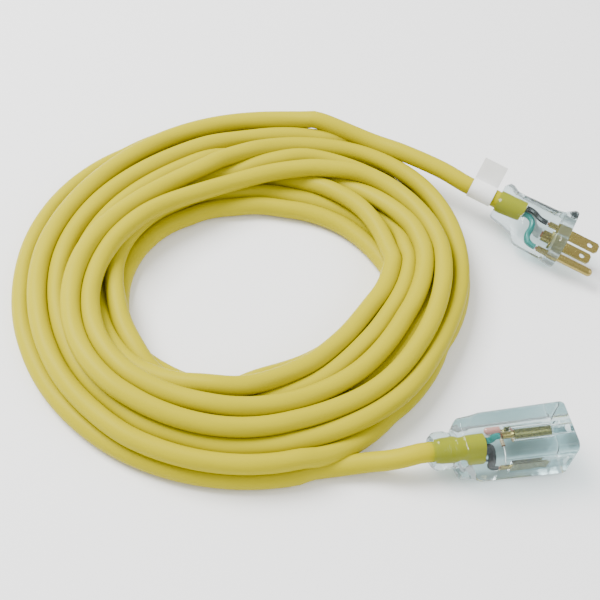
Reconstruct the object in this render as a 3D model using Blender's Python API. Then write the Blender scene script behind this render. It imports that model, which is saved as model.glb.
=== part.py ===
"""Outdoor extension cord, wound in a flat coil and lying on a floor.

The cord has a three-pin plug on one end and a lit three-slot connector on the other, both in
clear mouldings that show the conductors, crimps and contacts inside.

Frame: +X points out of the connector's face, +Z is up, and the origin is on the floor under the
middle of the connector. The plug, the coil and the two free stretches of cord lie where they rest.
All sizes are in metres.
"""
import math

import bmesh
import bpy
import numpy as np
from mathutils import Vector

MM = 0.001
GAP = 0.3 * MM                      # clearance between pieces that touch

# Cord: jacket, insulated conductors and bare strands
CORD_DIAMETER = 9.8 * MM
WIRE_DIAMETER = 3.4 * MM
WIRE_LAY_RADIUS = 2.2 * MM          # from the cord's axis to each conductor's axis
STRAND_DIAMETER = 1.9 * MM
CRIMP_WALL = 0.55 * MM
CRIMP_LENGTH = 6.0 * MM
CRIMP_TO_WIRE = 1.2 * MM            # bare strands that show between wire and crimp

# Blades, pin and their pattern, as on every plug and connector of this pattern
BLADE_WIDTH = 6.3 * MM
BLADE_THICKNESS = 1.5 * MM
BLADE_PITCH = 12.7 * MM
BLADE_REACH = 17.8 * MM
BLADE_HOLE_RADIUS = 1.6 * MM
BLADE_HOLE_FROM_TIP = 5.0 * MM
PIN_DIAMETER = 4.8 * MM
PIN_REACH = 21.0 * MM
PIN_OFFSET = 11.9 * MM              # from the line of the blades

# Connector
CONNECTOR_LENGTH = 69.0 * MM
CONNECTOR_FACE_HALF = 14.0 * MM
CONNECTOR_WALL = 3.0 * MM
CONNECTOR_BLADE_DROP = 5.4 * MM     # blade slots' line, below the middle of the face
INSERT_LENGTH = 31.0 * MM
SLOT_WIDTH = 2.6 * MM
HOT_SLOT_HEIGHT = 7.2 * MM
NEUTRAL_SLOT_HEIGHT = 8.6 * MM
GROUND_HOLE = 5.6 * MM
LEAF_ROOM_WIDTH = 4.4 * MM          # behind the slots
LEAF_ROOM_HEIGHT = 7.6 * MM
SLEEVE_ROOM = 7.6 * MM
LEAF_LENGTH = 19.0 * MM
LEAF_HEIGHT = 6.0 * MM
LEAF_THICKNESS = 0.6 * MM
LEAF_SETBACK = 10.0 * MM            # from the face to the leaves' mouths
CONNECTOR_JACKET_LENGTH = 26.5 * MM

# Indicator lamp
LAMP_DIAMETER = 3.6 * MM
LAMP_LENGTH = 8.0 * MM
LAMP_WIRE_DIAMETER = 0.7 * MM
RESISTOR_DIAMETER = 2.0 * MM
RESISTOR_LENGTH = 4.6 * MM

# Plug, in its own frame: +X along the pins, -Y towards the ground pin
PLUG_LENGTH = 43.5 * MM
PLUG_REAR = Vector((48.5, 151.5, 19.3)) * MM
PLUG_YAW = math.radians(-36.4)
PLUG_PITCH = math.radians(5.0)
PLUG_ROLL = math.radians(12.0)
PLUG_JACKET_LENGTH = 16.5 * MM
PLUG_WIRE_END = 29.9 * MM
PLUG_BLADE_SHIFT = 4.1 * MM         # blades' line, from the cord's axis towards the ground pin
BRIDGE_LENGTH = 6.0 * MM

# Tag
TAG_WIDTH = 14.0 * MM
TAG_THICKNESS = 0.3 * MM
TAG_FLAG = 13.0 * MM
TAG_DISTANCE = 3.0 * MM             # from the plug's rear

# Coil: one turned ring, round edged, inside the circle on which the free stretches meet it
COIL_CENTRE = Vector((-101.0, 116.0, 0.0)) * MM
COIL_MEETING_RADIUS = 120.0 * MM
COIL_OUTER_RADIUS = COIL_MEETING_RADIUS - CORD_DIAMETER / 2 - GAP
COIL_INNER_RADIUS = 60.0 * MM
COIL_HEIGHT = 28.0 * MM

# Routes of the two free stretches, from the moulding towards the coil
PLUG_LEAD = [(32.4, 163.3, 20.9), (20.5, 175.0, 21.5), (2.0, 190.5, 20.5), (-14.0, 202.0, 19.0),
             (-28.5, 211.5, 17.5)]
CONNECTOR_LEAD = [(-48.0, -0.4, 12.4), (-56.0, 0.2, 10.2), (-64.0, 1.8, 7.6)]
LEAD_START = 5.0 * MM              # straight piece at the moulding
LEAD_STEP = 11.0 * MM


# ---------------------------------------------------------------- helpers

def clear_scene():
    """Remove every object that the file holds."""
    for item in list(bpy.data.objects):
        bpy.data.objects.remove(item, do_unlink=True)


def material(name, colour, roughness, metallic=0.0, alpha=1.0):
    """Make one plain Principled material."""
    made = bpy.data.materials.new(name)
    made.use_nodes = True
    shader = made.node_tree.nodes["Principled BSDF"]
    shader.inputs["Base Color"].default_value = (*colour, 1.0)
    shader.inputs["Roughness"].default_value = roughness
    shader.inputs["Metallic"].default_value = metallic
    shader.inputs["Alpha"].default_value = alpha
    return made


def place(item, finish, parent=None):
    """Link an object into the scene, give it its material and hang it on its parent."""
    bpy.context.scene.collection.objects.link(item)
    item.data.materials.clear()
    item.data.materials.append(finish)
    item.parent = parent
    return item


def mesh_object(name, shape, finish, parent=None):
    """Turn a bmesh into a smooth-shaded object with outward faces and sharp corners kept."""
    bmesh.ops.recalc_face_normals(shape, faces=shape.faces)
    mesh = bpy.data.meshes.new(name)
    shape.to_mesh(mesh)
    shape.free()
    mesh.shade_smooth()
    mesh.set_sharp_from_angle(angle=math.radians(35.0))
    return place(bpy.data.objects.new(name, mesh), finish, parent)


def combine(target, tool, operation):
    """Join a tool body to a target, or cut it out, and keep only the result."""
    step = target.modifiers.new(operation.title(), "BOOLEAN")
    step.operation = operation
    step.solver = "EXACT"
    step.object = tool
    bpy.context.view_layer.update()
    graph = bpy.context.evaluated_depsgraph_get()
    result = bpy.data.meshes.new_from_object(target.evaluated_get(graph))
    target.modifiers.clear()
    target.data = result
    bpy.data.objects.remove(tool, do_unlink=True)
    return target


def section(half_width, half_height, corner, steps=5):
    """Points of a rounded rectangle round the X axis, as (y, z), the same number every time."""
    points = []
    for quarter, (side, rise) in enumerate(((1, 1), (-1, 1), (-1, -1), (1, -1))):
        for step in range(steps + 1):
            angle = (quarter + step / steps) * math.pi / 2
            y = side * (half_width - corner) + corner * math.cos(angle)
            z = rise * (half_height - corner) + corner * math.sin(angle)
            points.append((y, z))
    return points


def loft(name, outer, finish, inner=None, parent=None):
    """Skin a body through sections, each (x, centre y, centre z, half width, half height, corner).

    With inner sections the body is a shell that is open at both ends; without them it is solid.
    """
    shape = bmesh.new()

    def rings(stations):
        made = []
        for x, centre_y, centre_z, half_width, half_height, corner in stations:
            ring = [shape.verts.new((x, centre_y + y, centre_z + z))
                    for y, z in section(half_width, half_height, corner)]
            made.append(ring)
        return made

    def bridge(first, second):
        count = len(first)
        for index in range(count):
            after = (index + 1) % count
            shape.faces.new((first[index], first[after], second[after], second[index]))

    skin = rings(outer)
    for first, second in zip(skin, skin[1:]):
        bridge(first, second)
    if inner is None:
        shape.faces.new(skin[0])
        shape.faces.new(skin[-1])
    else:
        hollow = rings(inner)
        for first, second in zip(hollow, hollow[1:]):
            bridge(first, second)
        bridge(skin[0], hollow[0])
        bridge(skin[-1], hollow[-1])
    return mesh_object(name, shape, finish, parent)


def turned(name, profile, finish, centre=(0.0, 0.0, 0.0), axis="X", segments=24, parent=None):
    """Turn a closed (distance along the axis, radius) profile all the way round its axis."""
    shape = bmesh.new()
    rings = []
    for along, radius in profile:
        ring = []
        for step in range(segments if radius > 0 else 1):
            angle = 2 * math.pi * step / segments
            across = (radius * math.cos(angle), radius * math.sin(angle))
            spot = (along, *across) if axis == "X" else (*across, along)
            ring.append(shape.verts.new(Vector(spot) + Vector(centre)))
        rings.append(ring)
    for first, second in zip(rings, rings[1:] + rings[:1]):
        for step in range(segments):
            after = (step + 1) % segments
            corners = [first[step % len(first)], first[after % len(first)],
                       second[after % len(second)], second[step % len(second)]]
            corners = list(dict.fromkeys(corners))
            if len(corners) > 2:
                shape.faces.new(corners)
    return mesh_object(name, shape, finish, parent)


def box(name, low, high, finish, parent=None):
    """A plain block between two corners."""
    shape = bmesh.new()
    bmesh.ops.create_cube(shape, size=1.0)
    for vert in shape.verts:
        share = vert.co + Vector((0.5, 0.5, 0.5))
        vert.co = Vector([a + (b - a) * s for a, b, s in zip(low, high, share)])
    return mesh_object(name, shape, finish, parent)


def extruded(name, outline, depth_axis, low, high, finish, parent=None):
    """Extrude a flat outline between two heights along Y or Z.

    The outline's points are (x, z) when the depth runs along Y and (x, y) when it runs along Z.
    """
    shape = bmesh.new()

    def level(depth):
        if depth_axis == "Y":
            return [shape.verts.new((x, depth, across)) for x, across in outline]
        return [shape.verts.new((x, across, depth)) for x, across in outline]

    bottom = level(low)
    top = level(high)
    shape.faces.new(bottom)
    shape.faces.new(top)
    for index in range(len(outline)):
        after = (index + 1) % len(outline)
        shape.faces.new((bottom[index], bottom[after], top[after], top[index]))
    return mesh_object(name, shape, finish, parent)


def smooth_route(points, step):
    """Read evenly spaced points from one smooth curve through a route's own points."""
    route = np.array([tuple(point) for point in points], dtype=float)
    padded = np.vstack([2 * route[0] - route[1], route, 2 * route[-1] - route[-2]])
    share = np.linspace(0.0, 1.0, 25)[:-1, None]
    dense = []
    for before, start, end, after in zip(padded, padded[1:], padded[2:], padded[3:]):
        dense.append(0.5 * (2 * start + (end - before) * share
                            + (2 * before - 5 * start + 4 * end - after) * share ** 2
                            + (3 * start - before - 3 * end + after) * share ** 3))
    dense = np.vstack(dense + [route[-1:]])
    lengths = np.r_[0.0, np.cumsum(np.linalg.norm(np.diff(dense, axis=0), axis=1))]
    count = max(2, int(round(lengths[-1] / step)) + 1)
    spots = np.linspace(0.0, lengths[-1], count)
    return np.column_stack([np.interp(spots, lengths, dense[:, axis]) for axis in range(3)])


def tube(name, points, diameter, finish, step, resolution=2, parent=None, start=None):
    """A round solid tube that follows a smooth route, after one straight piece from its start."""
    route = smooth_route(points, step)
    if start is not None:
        route = np.vstack([np.array([tuple(start)]), route])
    curve = bpy.data.curves.new(name, "CURVE")
    curve.dimensions = "3D"
    curve.bevel_depth = diameter / 2
    curve.bevel_resolution = resolution
    curve.use_fill_caps = True
    spline = curve.splines.new("POLY")
    spline.points.add(len(route) - 1)
    for point, spot in zip(spline.points, route):
        point.co = (*spot, 1.0)
    return place(bpy.data.objects.new(name, curve), finish, parent)


def rod(name, start, length, diameter, finish, parent=None):
    """A straight round rod along +X from its start point."""
    profile = [(0.0, 0.0), (0.0, diameter / 2), (length, diameter / 2), (length, 0.0)]
    return turned(name, profile[1:3] + [profile[3], profile[0]], finish, start, parent=parent)


def crimp_profile(rear, front):
    """Profile of an open crimp barrel from its mouth to the solid metal in front of it."""
    bore = STRAND_DIAMETER / 2 + GAP
    return [(front, 0.0), (front, bore), (rear, bore), (rear, bore + CRIMP_WALL)]


def wire_start(turn):
    """Where a conductor sits in the cord's section, as (y, z), for its turn round the axis."""
    angle = math.radians(turn)
    return WIRE_LAY_RADIUS * math.cos(angle), WIRE_LAY_RADIUS * math.sin(angle)


def s_bend(start, end, count=14):
    """Points of an S bend between two spots whose ends both run along +X: two equal arcs."""
    start = Vector(start)
    end = Vector(end)
    length = end.x - start.x
    across = Vector((0.0, end.y - start.y, end.z - start.z))
    turn = 2 * math.atan2(across.length, length)
    radius = length / (2 * math.sin(turn))
    points = []
    for index in range(count + 1):
        angle = turn * index / count
        reach = Vector((radius * math.sin(angle), 0.0, 0.0))
        points.append(start + reach + across.normalized() * radius * (1 - math.cos(angle)))
    return points + [start + end - point for point in reversed(points[:-1])]


def conductor(prefix, colour, finish, copper, start_x, end_x, turn, seat, parent=None):
    """One insulated conductor from the jacket's end to just short of its crimp, and its strands."""
    y, z = wire_start(turn)
    seat_y, seat_z = seat
    straight = 1.2 * MM
    bend = s_bend((start_x + GAP + straight, y, z), (end_x - straight, seat_y, seat_z))
    points = [(start_x + GAP, y, z)] + bend + [(end_x, seat_y, seat_z)]
    tube(prefix + "_wire_" + colour, points, WIRE_DIAMETER, finish, 0.9 * MM, parent=parent)
    start = (end_x + GAP, seat_y, seat_z)
    length = CRIMP_TO_WIRE + CRIMP_LENGTH - 5 * GAP
    rod(prefix + "_strands_" + colour, start, length, STRAND_DIAMETER, copper, parent)


# ---------------------------------------------------------------- materials

def make_finishes():
    """One plain finish for each kind of surface."""
    return {
        "jacket": material("yellow_jacket", (0.80, 0.68, 0.03), 0.42),
        "clear": material("clear_moulding", (0.62, 0.70, 0.72), 0.18, alpha=0.35),
        "insert": material("clear_insert", (0.80, 0.84, 0.84), 0.22, alpha=0.45),
        "brass": material("brass", (0.78, 0.66, 0.32), 0.28, 1.0),
        "copper": material("copper_strands", (0.80, 0.45, 0.28), 0.35, 1.0),
        "black": material("black_insulation", (0.02, 0.02, 0.02), 0.45),
        "white": material("white_insulation", (0.85, 0.86, 0.84), 0.45),
        "green": material("green_insulation", (0.04, 0.55, 0.48), 0.45),
        "lamp": material("lamp_glass", (0.90, 0.45, 0.35), 0.15),
        "resistor": material("resistor_body", (0.72, 0.60, 0.42), 0.5),
        "steel": material("tinned_lead", (0.75, 0.75, 0.74), 0.3, 1.0),
        "tag": material("tag_film", (0.92, 0.92, 0.90), 0.5),
    }


# ---------------------------------------------------------------- connector

def connector_axis_height():
    """Height of the connector's axis, which lies on the flat under its face."""
    return CONNECTOR_FACE_HALF


def connector_insert_half():
    """Half size of the square insert inside the connector's wall."""
    return CONNECTOR_FACE_HALF - CONNECTOR_WALL - GAP


def make_connector_body(finish):
    """Clear overmould: round strain-relief collar, neck, and a square body with a flat underside."""
    rear = -CONNECTOR_LENGTH / 2
    front = CONNECTOR_LENGTH / 2
    axis = connector_axis_height()
    half = CONNECTOR_FACE_HALF
    outer = []
    for x, radius in ((rear, 7.4), (rear + 1.2 * MM, 8.9), (rear + 3.0 * MM, 9.3), (rear + 6.5 * MM, 9.3),
                      (rear + 8.2 * MM, 8.7), (rear + 9.4 * MM, 8.3), (rear + 11.2 * MM, 8.4)):
        outer.append((x, 0.0, axis, radius * MM, radius * MM, (radius - 0.1) * MM))
    for x, less, corner in ((rear + 12.4 * MM, 3.2, 6.5), (rear + 13.6 * MM, 2.0, 5.0), (rear + 21.0 * MM, 1.5, 4.4),
                            (rear + 25.0 * MM, 0.7, 4.2), (front - 2.4 * MM, 0.0, 4.2), (front - 0.8 * MM, 0.0, 4.2),
                            (front, 0.6, 3.6)):
        size = half - less * MM
        outer.append((x, 0.0, axis, size, size, corner * MM))
    flat_from = 10
    for index in range(flat_from, len(outer) - 1):
        x, y, _, width, height, corner = outer[index]
        outer[index] = (x, y, height, width, height, corner)
    bore = CORD_DIAMETER / 2 + GAP
    room = connector_insert_half() + GAP
    room_start = -CONNECTOR_LENGTH / 2 + CONNECTOR_JACKET_LENGTH - 2.0 * MM
    inner = [(rear, 0.0, axis, bore, bore, bore - 0.1 * MM),
             (room_start, 0.0, axis, bore, bore, bore - 0.1 * MM),
             (room_start + 2.5 * MM, 0.0, axis, room * 0.85, room * 0.85, 3.0 * MM),
             (front - INSERT_LENGTH - 2.0 * MM, 0.0, axis, room, room, 2.4 * MM),
             (front, 0.0, axis, room, room, 2.4 * MM)]
    loft("connector_body", outer, finish, inner)


def contact_places():
    """Centre of each contact on the connector's face, as (y, z)."""
    line = connector_axis_height() - CONNECTOR_BLADE_DROP
    return {"hot": (-BLADE_PITCH / 2, line), "neutral": (BLADE_PITCH / 2, line),
            "ground": (0.0, line + PIN_OFFSET)}


def make_connector_insert(finish):
    """Clear insert in the mouth of the body, with a way through it for each blade and the pin."""
    front = CONNECTOR_LENGTH / 2
    rear = front - INSERT_LENGTH
    axis = connector_axis_height()
    half = connector_insert_half()
    stations = [(x, 0.0, axis, half, half, 2.4 * MM) for x in (rear, front)]
    insert = loft("connector_insert", stations, finish)
    places = contact_places()
    _, mouth = leaf_span()
    room_end = mouth + 2 * GAP
    over = 1.0 * MM
    for name, slot_height in (("hot", HOT_SLOT_HEIGHT), ("neutral", NEUTRAL_SLOT_HEIGHT)):
        y, z = places[name]
        ways = ((LEAF_ROOM_WIDTH, LEAF_ROOM_HEIGHT, room_end), (SLOT_WIDTH, slot_height, front + over))
        for width, height, end in ways:
            low = (rear - over, y - width / 2, z - height / 2)
            high = (end, y + width / 2, z + height / 2)
            combine(insert, box("slot_cutter", low, high, finish), "DIFFERENCE")
    y, z = places["ground"]
    room = SLEEVE_ROOM / 2
    hole = GROUND_HOLE / 2
    profile = [(rear - over, 0.0), (rear - over, room), (room_end, room), (room_end, hole), (front + over, hole),
               (front + over, 0.0)]
    combine(insert, turned("pin_cutter", profile, finish, (0.0, y, z)), "DIFFERENCE")


def leaf_span():
    """Where the contact leaves start and end along X."""
    mouth = CONNECTOR_LENGTH / 2 - LEAF_SETBACK
    return mouth - LEAF_LENGTH, mouth


def make_blade_contact(name, spot, finish):
    """Brass contact for one blade: a folded pair of leaves with a crimp barrel behind it."""
    y, z = spot
    root, mouth = leaf_span()
    grip = BLADE_THICKNESS / 2 + 0.15 * MM
    spread = LEAF_ROOM_WIDTH / 2 - GAP
    thick = LEAF_THICKNESS
    barrel = STRAND_DIAMETER / 2 + GAP + CRIMP_WALL
    waist = mouth - 4.0 * MM
    upper_out = [(root, spread), (waist - 6.0 * MM, spread), (waist, grip + thick), (mouth, spread)]
    upper_in = [(mouth, spread - thick), (waist, grip), (waist - 6.0 * MM, spread - thick),
                (root + thick, spread - thick)]
    lower_in = [(x, -across) for x, across in reversed(upper_in)]
    lower_out = [(x, -across) for x, across in reversed(upper_out)]
    outline = [(x, y + across) for x, across in upper_out + upper_in + lower_in + lower_out]
    leaves = extruded(name, outline, "Z", z - LEAF_HEIGHT / 2, z + LEAF_HEIGHT / 2, finish)
    profile = crimp_profile(root - CRIMP_LENGTH, root - 0.6 * MM)
    profile += [(root + thick / 2, barrel), (root + thick / 2, 0.0)]
    return combine(leaves, turned("barrel", profile, finish, (0.0, y, z)), "UNION")


def make_ground_contact(spot, finish):
    """Brass contact for the pin: a round sleeve and its crimp barrel, turned in one piece."""
    root, mouth = leaf_span()
    inside = PIN_DIAMETER / 2 + 0.3 * MM
    outside = inside + LEAF_THICKNESS
    barrel = STRAND_DIAMETER / 2 + GAP + CRIMP_WALL
    profile = crimp_profile(root - CRIMP_LENGTH, root - 0.6 * MM)
    profile += [(root, barrel), (root, outside), (mouth - 1.0 * MM, outside), (mouth, outside + 0.2 * MM),
                (mouth, inside + 0.2 * MM), (mouth - 1.0 * MM, inside), (root + LEAF_THICKNESS, inside),
                (root + LEAF_THICKNESS, 0.0)]
    turned("connector_contact_ground", profile, finish, (0.0, *spot))


def make_connector_wires(finishes):
    """Jacket end, three conductors and their bare strands inside the connector."""
    rear = -CONNECTOR_LENGTH / 2
    axis = connector_axis_height()
    jacket_end = rear + CONNECTOR_JACKET_LENGTH
    rod("connector_jacket_end", (rear, 0.0, axis), CONNECTOR_JACKET_LENGTH, CORD_DIAMETER, finishes["jacket"])
    frame = bpy.data.objects.new("connector_axis", None)
    frame.location = (0.0, 0.0, axis)
    bpy.context.scene.collection.objects.link(frame)
    root, _ = leaf_span()
    wire_end = root - CRIMP_LENGTH - CRIMP_TO_WIRE
    for name, colour, turn in (("hot", "black", 210.0), ("neutral", "white", 330.0), ("ground", "green", 90.0)):
        y, z = contact_places()[name]
        conductor("connector", colour, finishes[colour], finishes["copper"], jacket_end, wire_end, turn,
                  (y, z - axis), frame)


def make_lamp(finishes):
    """Neon lamp over the neutral crimp, with its resistor and its two leads."""
    places = contact_places()
    hot_y, line = places["hot"]
    neutral_y, _ = places["neutral"]
    root, _ = leaf_span()
    crimp = STRAND_DIAMETER / 2 + GAP + CRIMP_WALL
    lead = LAMP_WIRE_DIAMETER / 2
    lamp_y = neutral_y - 0.4 * MM
    lamp_z = line + crimp + GAP + 2 * lead + 2.9 * MM
    lamp_x = root - CRIMP_LENGTH - 6.0 * MM
    radius = LAMP_DIAMETER / 2
    profile = [(0.0, 0.0)]
    for step in range(1, 5):
        angle = math.pi / 2 * step / 4
        profile.append((radius - radius * math.cos(angle), radius * math.sin(angle)))
    profile += [(LAMP_LENGTH, radius), (LAMP_LENGTH, 0.0)]
    turned("connector_lamp", profile, finishes["lamp"], (lamp_x, lamp_y, lamp_z), segments=16)
    lamp_front = lamp_x + LAMP_LENGTH + GAP
    tap_x = root - 3.8 * MM
    # Short lead: from the lamp down to the neutral crimp
    tube("connector_lamp_lead_neutral",
         [(lamp_front, lamp_y + 0.8 * MM, lamp_z - 0.6 * MM),
          (lamp_front + 0.8 * MM, lamp_y + 0.8 * MM, lamp_z - 1.0 * MM),
          (tap_x, neutral_y + 0.2 * MM, line + crimp + GAP + lead + 0.8 * MM),
          (tap_x, neutral_y + 0.2 * MM, line + crimp + GAP + 0.05 * MM)],
         LAMP_WIRE_DIAMETER, finishes["steel"], 0.8 * MM)
    # Resistor in the long lead: across to the hot crimp, under the ground crimp
    bridge_z = line + crimp + GAP + 1.6 * MM
    start_y = lamp_y - 1.2 * MM
    resistor_y = RESISTOR_LENGTH / 2
    radius = RESISTOR_DIAMETER / 2
    shape = bmesh.new()
    bmesh.ops.create_cone(shape, cap_ends=True, segments=16, radius1=radius, radius2=radius, depth=RESISTOR_LENGTH)
    resistor = mesh_object("connector_lamp_resistor", shape, finishes["resistor"])
    resistor.location = (tap_x, 0.0, bridge_z)
    resistor.rotation_euler = (math.pi / 2, 0.0, 0.0)
    tube("connector_lamp_lead_resistor",
         [(lamp_front, start_y, lamp_z), (lamp_front + 1.0 * MM, start_y - 0.2 * MM, lamp_z - 0.4 * MM),
          (tap_x, resistor_y + 1.6 * MM, bridge_z), (tap_x, resistor_y + GAP, bridge_z)],
         LAMP_WIRE_DIAMETER, finishes["steel"], 0.8 * MM)
    tube("connector_lamp_lead_hot",
         [(tap_x, -resistor_y - GAP, bridge_z), (tap_x, -resistor_y - 1.2 * MM, bridge_z),
          (tap_x, hot_y + 0.8 * MM, bridge_z - 0.5 * MM), (tap_x, hot_y, line + crimp + GAP + 0.05 * MM)],
         LAMP_WIRE_DIAMETER, finishes["steel"], 0.8 * MM)


def make_connector(finishes):
    """The whole connector."""
    make_connector_body(finishes["clear"])
    make_connector_insert(finishes["insert"])
    places = contact_places()
    for name in ("hot", "neutral"):
        make_blade_contact("connector_contact_" + name, places[name], finishes["brass"])
    make_ground_contact(places["ground"], finishes["brass"])
    make_connector_wires(finishes)
    make_lamp(finishes)


# ---------------------------------------------------------------- plug

def plug_frame():
    """Empty at the middle of the plug's rear, +X along the pins, -Y towards the ground pin."""
    frame = bpy.data.objects.new("plug_frame", None)
    frame.location = PLUG_REAR
    frame.rotation_euler = (PLUG_ROLL, PLUG_PITCH, PLUG_YAW)
    bpy.context.scene.collection.objects.link(frame)
    return frame


def plug_places():
    """Centre of each blade and of the pin on the plug's face, as (y, z)."""
    return {"hot": (-PLUG_BLADE_SHIFT, BLADE_PITCH / 2), "neutral": (-PLUG_BLADE_SHIFT, -BLADE_PITCH / 2),
            "ground": (-PLUG_BLADE_SHIFT - PIN_OFFSET, 0.0)}


def make_plug_body(finish, frame):
    """Clear overmould: flared rear ears, a waist for the fingers and a flared front flange.

    Each station is (x, edge away from the ground pin, edge on its side, half height, corner), in mm.
    """
    front = PLUG_LENGTH / MM
    stations = ((0.0, 8.0, 9.6, 8.2, 7.0), (1.0, 9.6, 10.2, 9.0, 7.4), (2.6, 11.2, 10.6, 9.5, 7.6),
                (4.8, 11.0, 11.0, 9.5, 7.6), (8.5, 8.6, 11.9, 9.4, 7.6), (13.0, 8.2, 13.4, 9.8, 7.6),
                (15.4, 8.2, 15.0, 10.0, 7.6), (17.4, 8.2, 18.2, 10.4, 7.8), (19.4, 8.2, 19.2, 10.6, 8.0),
                (32.0, 8.4, 19.5, 10.9, 8.0), (36.0, 9.2, 19.8, 11.4, 8.4), (39.0, 11.2, 20.0, 12.4, 9.2),
                (41.0, 12.6, 20.1, 13.3, 9.8), (front - 0.7, 12.9, 20.1, 13.5, 10.0), (front, 12.3, 19.6, 12.9, 9.6))
    outer = []
    for x, away, towards, half_height, corner in stations:
        outer.append((x * MM, (away - towards) / 2 * MM, 0.0, (away + towards) / 2 * MM, half_height * MM,
                      corner * MM))
    bore = CORD_DIAMETER / 2 + GAP
    middle, half_y, half_z, corner = bridge_section()
    room_y = half_y + GAP
    room_z = half_z + GAP
    inner = [(0.0, 0.0, 0.0, bore, bore, bore - 0.1 * MM),
             (PLUG_JACKET_LENGTH + 0.1 * MM, 0.0, 0.0, bore, bore, bore - 0.1 * MM),
             (PLUG_JACKET_LENGTH + 1.2 * MM, -1.0 * MM, 0.0, bore + 1.2 * MM, bore + 1.2 * MM, 4.0 * MM),
             (PLUG_JACKET_LENGTH + 4.4 * MM, middle, 0.0, room_y, room_z - 0.4 * MM, corner),
             (PLUG_LENGTH - BRIDGE_LENGTH - 3.0 * MM, middle, 0.0, room_y, room_z, corner),
             (PLUG_LENGTH, middle, 0.0, room_y, room_z, corner)]
    loft("plug_body", outer, finish, inner, frame)


def bridge_section():
    """Section of the bridge that carries the blades: middle y, half width, half height, corner."""
    away = 6.6 * MM
    towards = PLUG_BLADE_SHIFT + PIN_OFFSET + PIN_DIAMETER / 2 + 0.1 * MM
    half_z = BLADE_PITCH / 2 + BLADE_THICKNESS / 2 + 1.9 * MM
    return (away - towards) / 2, (away + towards) / 2, half_z, 5.2 * MM


def make_plug_bridge(finish, frame):
    """Stiff bridge in the plug's mouth, with holes that hold the two blades and the pin."""
    middle, half_y, half_z, corner = bridge_section()
    rear = PLUG_LENGTH - BRIDGE_LENGTH
    stations = [(x, middle, 0.0, half_y, half_z, corner) for x in (rear, PLUG_LENGTH)]
    bridge = loft("plug_bridge", stations, finish, parent=frame)
    bridge.parent = None
    over = 1.0 * MM
    places = plug_places()
    for name in ("hot", "neutral"):
        y, z = places[name]
        half_width = BLADE_WIDTH / 2 + GAP
        half_thick = BLADE_THICKNESS / 2 + GAP
        low = (rear - over, y - half_width, z - half_thick)
        high = (PLUG_LENGTH + over, y + half_width, z + half_thick)
        combine(bridge, box("blade_cutter", low, high, finish), "DIFFERENCE")
    y, z = places["ground"]
    slot_y = y + 0.1 * MM
    low = (rear - over, y - PIN_DIAMETER, z - PIN_DIAMETER / 2 - GAP)
    high = (PLUG_LENGTH + over, slot_y, z + PIN_DIAMETER / 2 + GAP)
    radius = PIN_DIAMETER / 2 + GAP
    profile = [(rear - over, 0.0), (rear - over, radius), (PLUG_LENGTH + over, radius), (PLUG_LENGTH + over, 0.0)]
    combine(bridge, turned("pin_cutter", profile, finish, (0.0, y, z)), "DIFFERENCE")
    combine(bridge, box("pin_side_cutter", low, high, finish), "DIFFERENCE")
    bridge.parent = frame


def make_blade(name, spot, finish, frame):
    """Brass blade with a tapered tip and its hole, and a crimp barrel on its rear end."""
    y, z = spot
    rear = PLUG_WIRE_END + CRIMP_TO_WIRE + CRIMP_LENGTH - 0.8 * MM
    tip = PLUG_LENGTH + BLADE_REACH
    half = BLADE_WIDTH / 2
    taper = 1.3 * MM
    outline = [(rear, y - half), (tip - taper, y - half), (tip, y - half + taper), (tip, y + half - taper),
               (tip - taper, y + half), (rear, y + half)]
    thick = BLADE_THICKNESS / 2
    blade = extruded(name, outline, "Z", z - thick, z + thick, finish)
    shape = bmesh.new()
    bmesh.ops.create_cone(shape, cap_ends=True, segments=24, radius1=BLADE_HOLE_RADIUS, radius2=BLADE_HOLE_RADIUS,
                          depth=4 * BLADE_THICKNESS)
    bmesh.ops.translate(shape, verts=shape.verts, vec=(tip - BLADE_HOLE_FROM_TIP, y, z))
    combine(blade, mesh_object("hole_cutter", shape, finish), "DIFFERENCE")
    barrel = STRAND_DIAMETER / 2 + GAP + CRIMP_WALL
    mouth = rear - CRIMP_LENGTH + 0.8 * MM
    profile = crimp_profile(mouth, rear - 0.1 * MM) + [(rear + 0.5 * MM, barrel), (rear + 1.0 * MM, 0.0)]
    combine(blade, turned("barrel", profile, finish, (0.0, y, z), segments=20), "UNION")
    blade.parent = frame


def make_ground_pin(spot, finish, frame):
    """Round ground pin with a domed tip, drilled at its rear end as a crimp barrel."""
    tip = PLUG_LENGTH + PIN_REACH
    mouth = PLUG_WIRE_END + CRIMP_TO_WIRE
    radius = PIN_DIAMETER / 2
    barrel = STRAND_DIAMETER / 2 + GAP + CRIMP_WALL
    step = PLUG_LENGTH - BRIDGE_LENGTH + 0.4 * MM
    profile = crimp_profile(mouth, mouth + CRIMP_LENGTH) + [(step, barrel), (step, radius)]
    for index in range(6):
        angle = math.pi / 2 * index / 6
        profile.append((tip - radius + radius * math.sin(angle), radius * math.cos(angle)))
    profile.append((tip, 0.0))
    turned("plug_ground_pin", profile, finish, (0.0, *spot), parent=frame)


def make_plug(finishes):
    """The whole plug, in its own frame."""
    frame = plug_frame()
    make_plug_body(finishes["clear"], frame)
    make_plug_bridge(finishes["insert"], frame)
    places = plug_places()
    make_blade("plug_blade_hot", places["hot"], finishes["brass"], frame)
    make_blade("plug_blade_neutral", places["neutral"], finishes["brass"], frame)
    make_ground_pin(places["ground"], finishes["brass"], frame)
    rod("plug_jacket_end", (0.0, 0.0, 0.0), PLUG_JACKET_LENGTH, CORD_DIAMETER, finishes["jacket"], frame)
    for name, colour, turn in (("hot", "black", 60.0), ("neutral", "white", 300.0), ("ground", "green", 180.0)):
        conductor("plug", colour, finishes[colour], finishes["copper"], PLUG_JACKET_LENGTH, PLUG_WIRE_END, turn,
                  places[name], frame)
    make_tag(finishes["tag"], frame)
    return frame


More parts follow.
